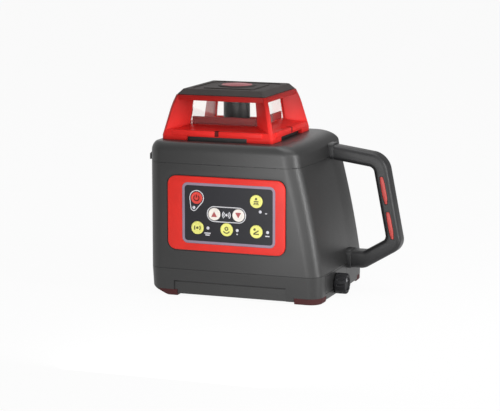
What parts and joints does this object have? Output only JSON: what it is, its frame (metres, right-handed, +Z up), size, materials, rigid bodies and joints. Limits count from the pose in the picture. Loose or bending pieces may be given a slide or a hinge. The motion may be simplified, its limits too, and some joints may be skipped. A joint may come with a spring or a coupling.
{
  "type": "laser level",
  "caption": "Self-levelling rotary laser: boxy body with a leaning side and carrying handle, keypad, windowed head with a spinning rotor, tripod thread and battery drawer.",
  "frame": {"origin": "mouth of the tripod thread on the rotor's axis, level with the soles of the feet", "axes": "+Z up along the rotor's axis, +X towards the handle, -Y towards the keypad"},
  "size_m": [0.2399, 0.1551, 0.2083],
  "materials": {
    "body_plastic": "fine matte texture",
    "handle_plastic": "satin, slightly ribbed",
    "foot_rubber": "matte, slightly maroon",
    "roof_rubber": "matte",
    "seal_rubber": "matte",
    "cage_red": "semi-gloss moulded",
    "frame_red": "satin",
    "inlay_red": "satin",
    "lens_red": "clear red",
    "pane_glass": "clear",
    "optic_glass": "polished",
    "panel_film": "satin film",
    "key_yellow": "satin",
    "key_white": "satin",
    "key_red": "satin",
    "lamp_lens": "clear",
    "circuit_board": "solder mask",
    "switch_black": "moulded",
    "insert_brass": "turned",
    "bright_steel": "turned",
    "cast_aluminium": "machined",
    "motor_case": "plated",
    "belt_rubber": "matte",
    "rotor_black": "satin",
    "cell_wrap": "plain wrap",
    "bay_plastic": "moulded",
    "knob_plastic": "moulded",
    "print_border": "satin printed border on the keypad film",
    "print_white": "satin printed outlines and marks",
    "print_red": "satin printed signs on the pale and red keys",
    "print_dark": "satin printed signs on the yellow keys",
    "screen_red": "matte, dark red"
  },
  "bodies": {
    "housing": {"base_housing": "body_plastic", "main_housing": "body_plastic", "top_cover": "body_plastic", "handle": "handle_plastic", "rubber_feet": "foot_rubber", "head_roof": "roof_rubber", "housing_seals": "seal_rubber", "head_cage": "cage_red", "keypad_bezel": "frame_red", "handle_inlays": "inlay_red", "roof_lens": "lens_red", "window_front": "pane_glass", "window_right": "pane_glass", "window_back": "pane_glass", "window_left": "pane_glass", "keypad_panel": "panel_film", "indicator_lenses": "lamp_lens", "keypad_board": "circuit_board", "main_board": "circuit_board", "key_switches": "switch_black", "tripod_insert": "insert_brass", "housing_screws": "bright_steel", "handle_screws": "bright_steel", "cage_screws": "bright_steel", "gimbal_frame": "cast_aluminium", "ring_actuator": "motor_case", "tube_actuator": "motor_case", "battery_bay": "bay_plastic", "head_screens": "screen_red"},
    "tilt_ring": {"gimbal_ring": "cast_aluminium", "ring_pins": "bright_steel"},
    "laser_carrier": {"laser_tube": "cast_aluminium", "tube_pins": "bright_steel", "laser_module": "insert_brass", "collimator_lens": "optic_glass", "tilt_sensors": "switch_black", "spindle_bearings": "bright_steel", "spin_motor": "motor_case", "drive_belt": "belt_rubber"},
    "rotor": {"spindle": "bright_steel", "rotor_pulley": "cast_aluminium", "rotor_drum": "rotor_black", "penta_prism": "optic_glass", "rotor_window": "optic_glass"},
    "motor_shaft": {"motor_pulley": "cast_aluminium"},
    "ring_pusher": {"ring_plunger": "bright_steel"},
    "tube_pusher": {"tube_plunger": "bright_steel"},
    "battery_drawer": {"battery_tray": "body_plastic", "battery_cells": "cell_wrap", "battery_contacts": "bright_steel"},
    "thumbscrew": {"lock_knob": "knob_plastic"},
    "power_key": {"power_button": "key_red"},
    "up_key": {"up_button": "key_white"},
    "down_key": {"down_button": "key_white"},
    "mode_key": {"mode_button": "key_yellow"},
    "scan_key": {"scan_button": "key_yellow"},
    "speed_key": {"speed_button": "key_yellow"},
    "tilt_key": {"tilt_button": "key_yellow"}
  },
  "joints": [
    {"name": "ring_tilt", "type": "hinge", "parent": "housing", "child": "tilt_ring", "pos_m": [0, 0, 0.104], "axis": [1, 0, 0], "range_deg": [-5, 5]},
    {"name": "tube_tilt", "type": "hinge", "parent": "tilt_ring", "child": "laser_carrier", "pos_m": [0, 0, 0.104], "axis": [0, 1, 0], "range_deg": [-5, 5]},
    {"name": "rotor_spin", "type": "hinge", "parent": "laser_carrier", "child": "rotor", "pos_m": [0, 0, 0.15], "axis": [0, 0, 1], "continuous": true},
    {"name": "motor_spin", "type": "hinge", "parent": "laser_carrier", "child": "motor_shaft", "pos_m": [-0.03, 0, 0.144], "axis": [0, 0, 1], "continuous": true},
    {"name": "ring_push", "type": "slide", "parent": "housing", "child": "ring_pusher", "axis": [0, 0, 1], "range_m": [-0.0042, 0.0042]},
    {"name": "tube_push", "type": "slide", "parent": "housing", "child": "tube_pusher", "axis": [0, 0, 1], "range_m": [-0.0045, 0.0045]},
    {"name": "drawer_slide", "type": "slide", "parent": "housing", "child": "battery_drawer", "axis": [1, 0, 0], "range_m": [0, 0.055]},
    {"name": "thumbscrew_turn", "type": "hinge", "parent": "battery_drawer", "child": "thumbscrew", "pos_m": [0.115, -0.021, 0.013], "axis": [1, 0, 0], "range_deg": [0, 1080]},
    {"name": "power_press", "type": "slide", "parent": "housing", "child": "power_key", "axis": [0, 1, 0], "range_m": [0, 0.0005], "stiffness_N_per_m": 900},
    {"name": "up_press", "type": "slide", "parent": "housing", "child": "up_key", "axis": [0, 1, 0], "range_m": [0, 0.0005], "stiffness_N_per_m": 900},
    {"name": "down_press", "type": "slide", "parent": "housing", "child": "down_key", "axis": [0, 1, 0], "range_m": [0, 0.0005], "stiffness_N_per_m": 900},
    {"name": "mode_press", "type": "slide", "parent": "housing", "child": "mode_key", "axis": [0, 1, 0], "range_m": [0, 0.0005], "stiffness_N_per_m": 900},
    {"name": "scan_press", "type": "slide", "parent": "housing", "child": "scan_key", "axis": [0, 1, 0], "range_m": [0, 0.0005], "stiffness_N_per_m": 900},
    {"name": "speed_press", "type": "slide", "parent": "housing", "child": "speed_key", "axis": [0, 1, 0], "range_m": [0, 0.0005], "stiffness_N_per_m": 900},
    {"name": "tilt_press", "type": "slide", "parent": "housing", "child": "tilt_key", "axis": [0, 1, 0], "range_m": [0, 0.0005], "stiffness_N_per_m": 900}
  ],
  "couplings": [
    {"joint": "motor_spin", "follows": "rotor_spin", "ratio": 2.6},
    {"joint": "ring_push", "follows": "ring_tilt", "m_per_rad": 0.046},
    {"joint": "tube_push", "follows": "tube_tilt", "m_per_rad": -0.05}
  ]
}
